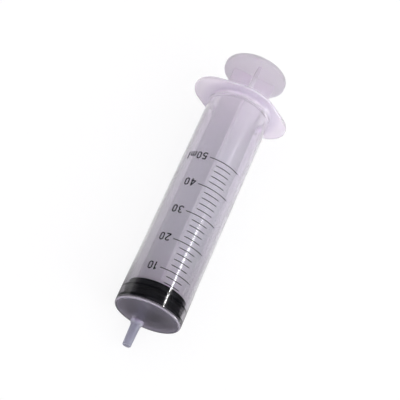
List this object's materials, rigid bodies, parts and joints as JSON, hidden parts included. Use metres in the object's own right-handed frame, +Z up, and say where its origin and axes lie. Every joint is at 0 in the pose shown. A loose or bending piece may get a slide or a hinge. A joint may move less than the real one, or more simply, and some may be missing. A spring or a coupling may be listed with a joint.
{
  "type": "plastic syringe",
  "caption": "Slip-tip syringe with an off-centre nozzle, winged flange, printed volume scale and a rubber-tipped plunger that slides and turns.",
  "frame": {"origin": "on the barrel's axis, in the plane of the flange's front face", "axes": "+X along the barrel towards the nozzle, +Z up through the middle of the printed scale, the flange's wings along Y"},
  "size_m": [0.1541, 0.0508, 0.039],
  "materials": {
    "barrel_plastic": "translucent natural polypropylene, smooth moulded",
    "rod_plastic": "translucent natural polypropylene, satin moulded",
    "gasket_rubber": "black moulded rubber, lightly oiled",
    "ink": "black printed ink"
  },
  "bodies": {
    "barrel_body": {"barrel": "barrel_plastic", "long_marks": "ink", "short_marks": "ink", "number_10": "ink", "number_20": "ink", "number_30": "ink", "number_40": "ink", "number_50": "ink", "volume_unit": "ink"},
    "gasket_body": {"gasket": "gasket_rubber"},
    "rod_body": {"plunger_rod": "rod_plastic"}
  },
  "joints": [
    {"name": "plunger_slide", "type": "slide", "parent": "barrel_body", "child": "gasket_body", "axis": [-1, 0, 0], "range_m": [0, 0.105]},
    {"name": "plunger_turn", "type": "hinge", "parent": "gasket_body", "child": "rod_body", "pos_m": [0.11, 0, 0], "axis": [1, 0, 0], "continuous": true}
  ]
}
